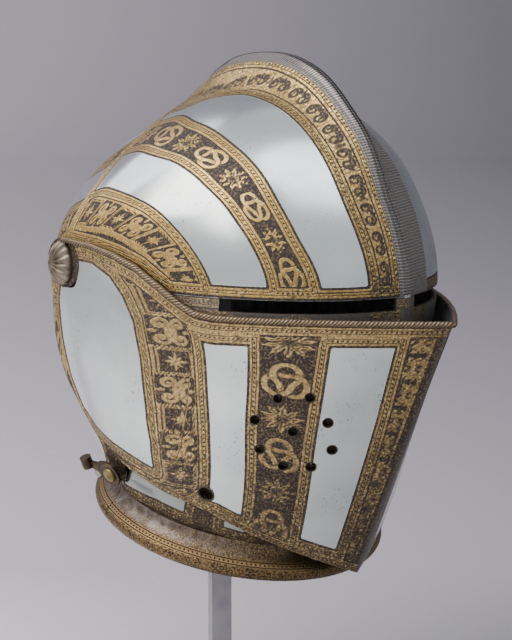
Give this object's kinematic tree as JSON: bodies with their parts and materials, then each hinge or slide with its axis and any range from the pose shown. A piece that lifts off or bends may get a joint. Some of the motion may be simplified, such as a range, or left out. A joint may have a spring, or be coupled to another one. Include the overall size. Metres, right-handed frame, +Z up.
{
  "type": "close helmet on a stand",
  "caption": "Etched and part-gilt close helmet with a high roped comb, hinged visor, ventail and bevor, and a hollow neck roll, set on a plain post stand.",
  "frame": {"origin": "middle of the underside of the stand's foot, on the floor", "axes": "+Z up, the helmet faces -Y, +X to the wearer's left"},
  "size_m": [0.2204, 0.2869, 0.4106],
  "materials": {
    "skull": "polished steel with etched and gilt bands",
    "visor": "polished steel with etched and gilt bands",
    "bevor": "steel, etched and gilt bands worn brown at the neck",
    "ventail": "polished steel with etched and gilt bands",
    "pivot_right": "worn gilt shell",
    "pivot_left": "worn gilt shell",
    "neck_hook": "steel with traces of gilding",
    "hook_rivet": "filed steel",
    "hook_stud": "filed steel",
    "stand": "satin grey paint"
  },
  "bodies": {
    "skull_body": {"skull": "skull", "pivot_right": "pivot_right", "pivot_left": "pivot_left", "hook_stud": "hook_stud", "stand": "stand"},
    "bevor_body": {"bevor": "bevor", "hook_rivet": "hook_rivet"},
    "ventail_body": {"ventail": "ventail"},
    "visor_body": {"visor": "visor"},
    "hook_body": {"neck_hook": "neck_hook"}
  },
  "joints": [
    {"name": "bevor_swing", "type": "hinge", "parent": "skull_body", "child": "bevor_body", "pos_m": [0, 0.06, 0.292], "axis": [-1, 0, 0], "range_deg": [0, 40]},
    {"name": "ventail_swing", "type": "hinge", "parent": "bevor_body", "child": "ventail_body", "pos_m": [0, 0.06, 0.292], "axis": [-1, 0, 0], "range_deg": [0, 50]},
    {"name": "visor_swing", "type": "hinge", "parent": "bevor_body", "child": "visor_body", "pos_m": [0, 0.06, 0.292], "axis": [-1, 0, 0], "range_deg": [0, 45]},
    {"name": "hook_turn", "type": "hinge", "parent": "bevor_body", "child": "hook_body", "pos_m": [-0.08013, 0.039, 0.171], "axis": [0.9143, 0.0068, 0.405], "range_deg": [0, 60]}
  ]
}
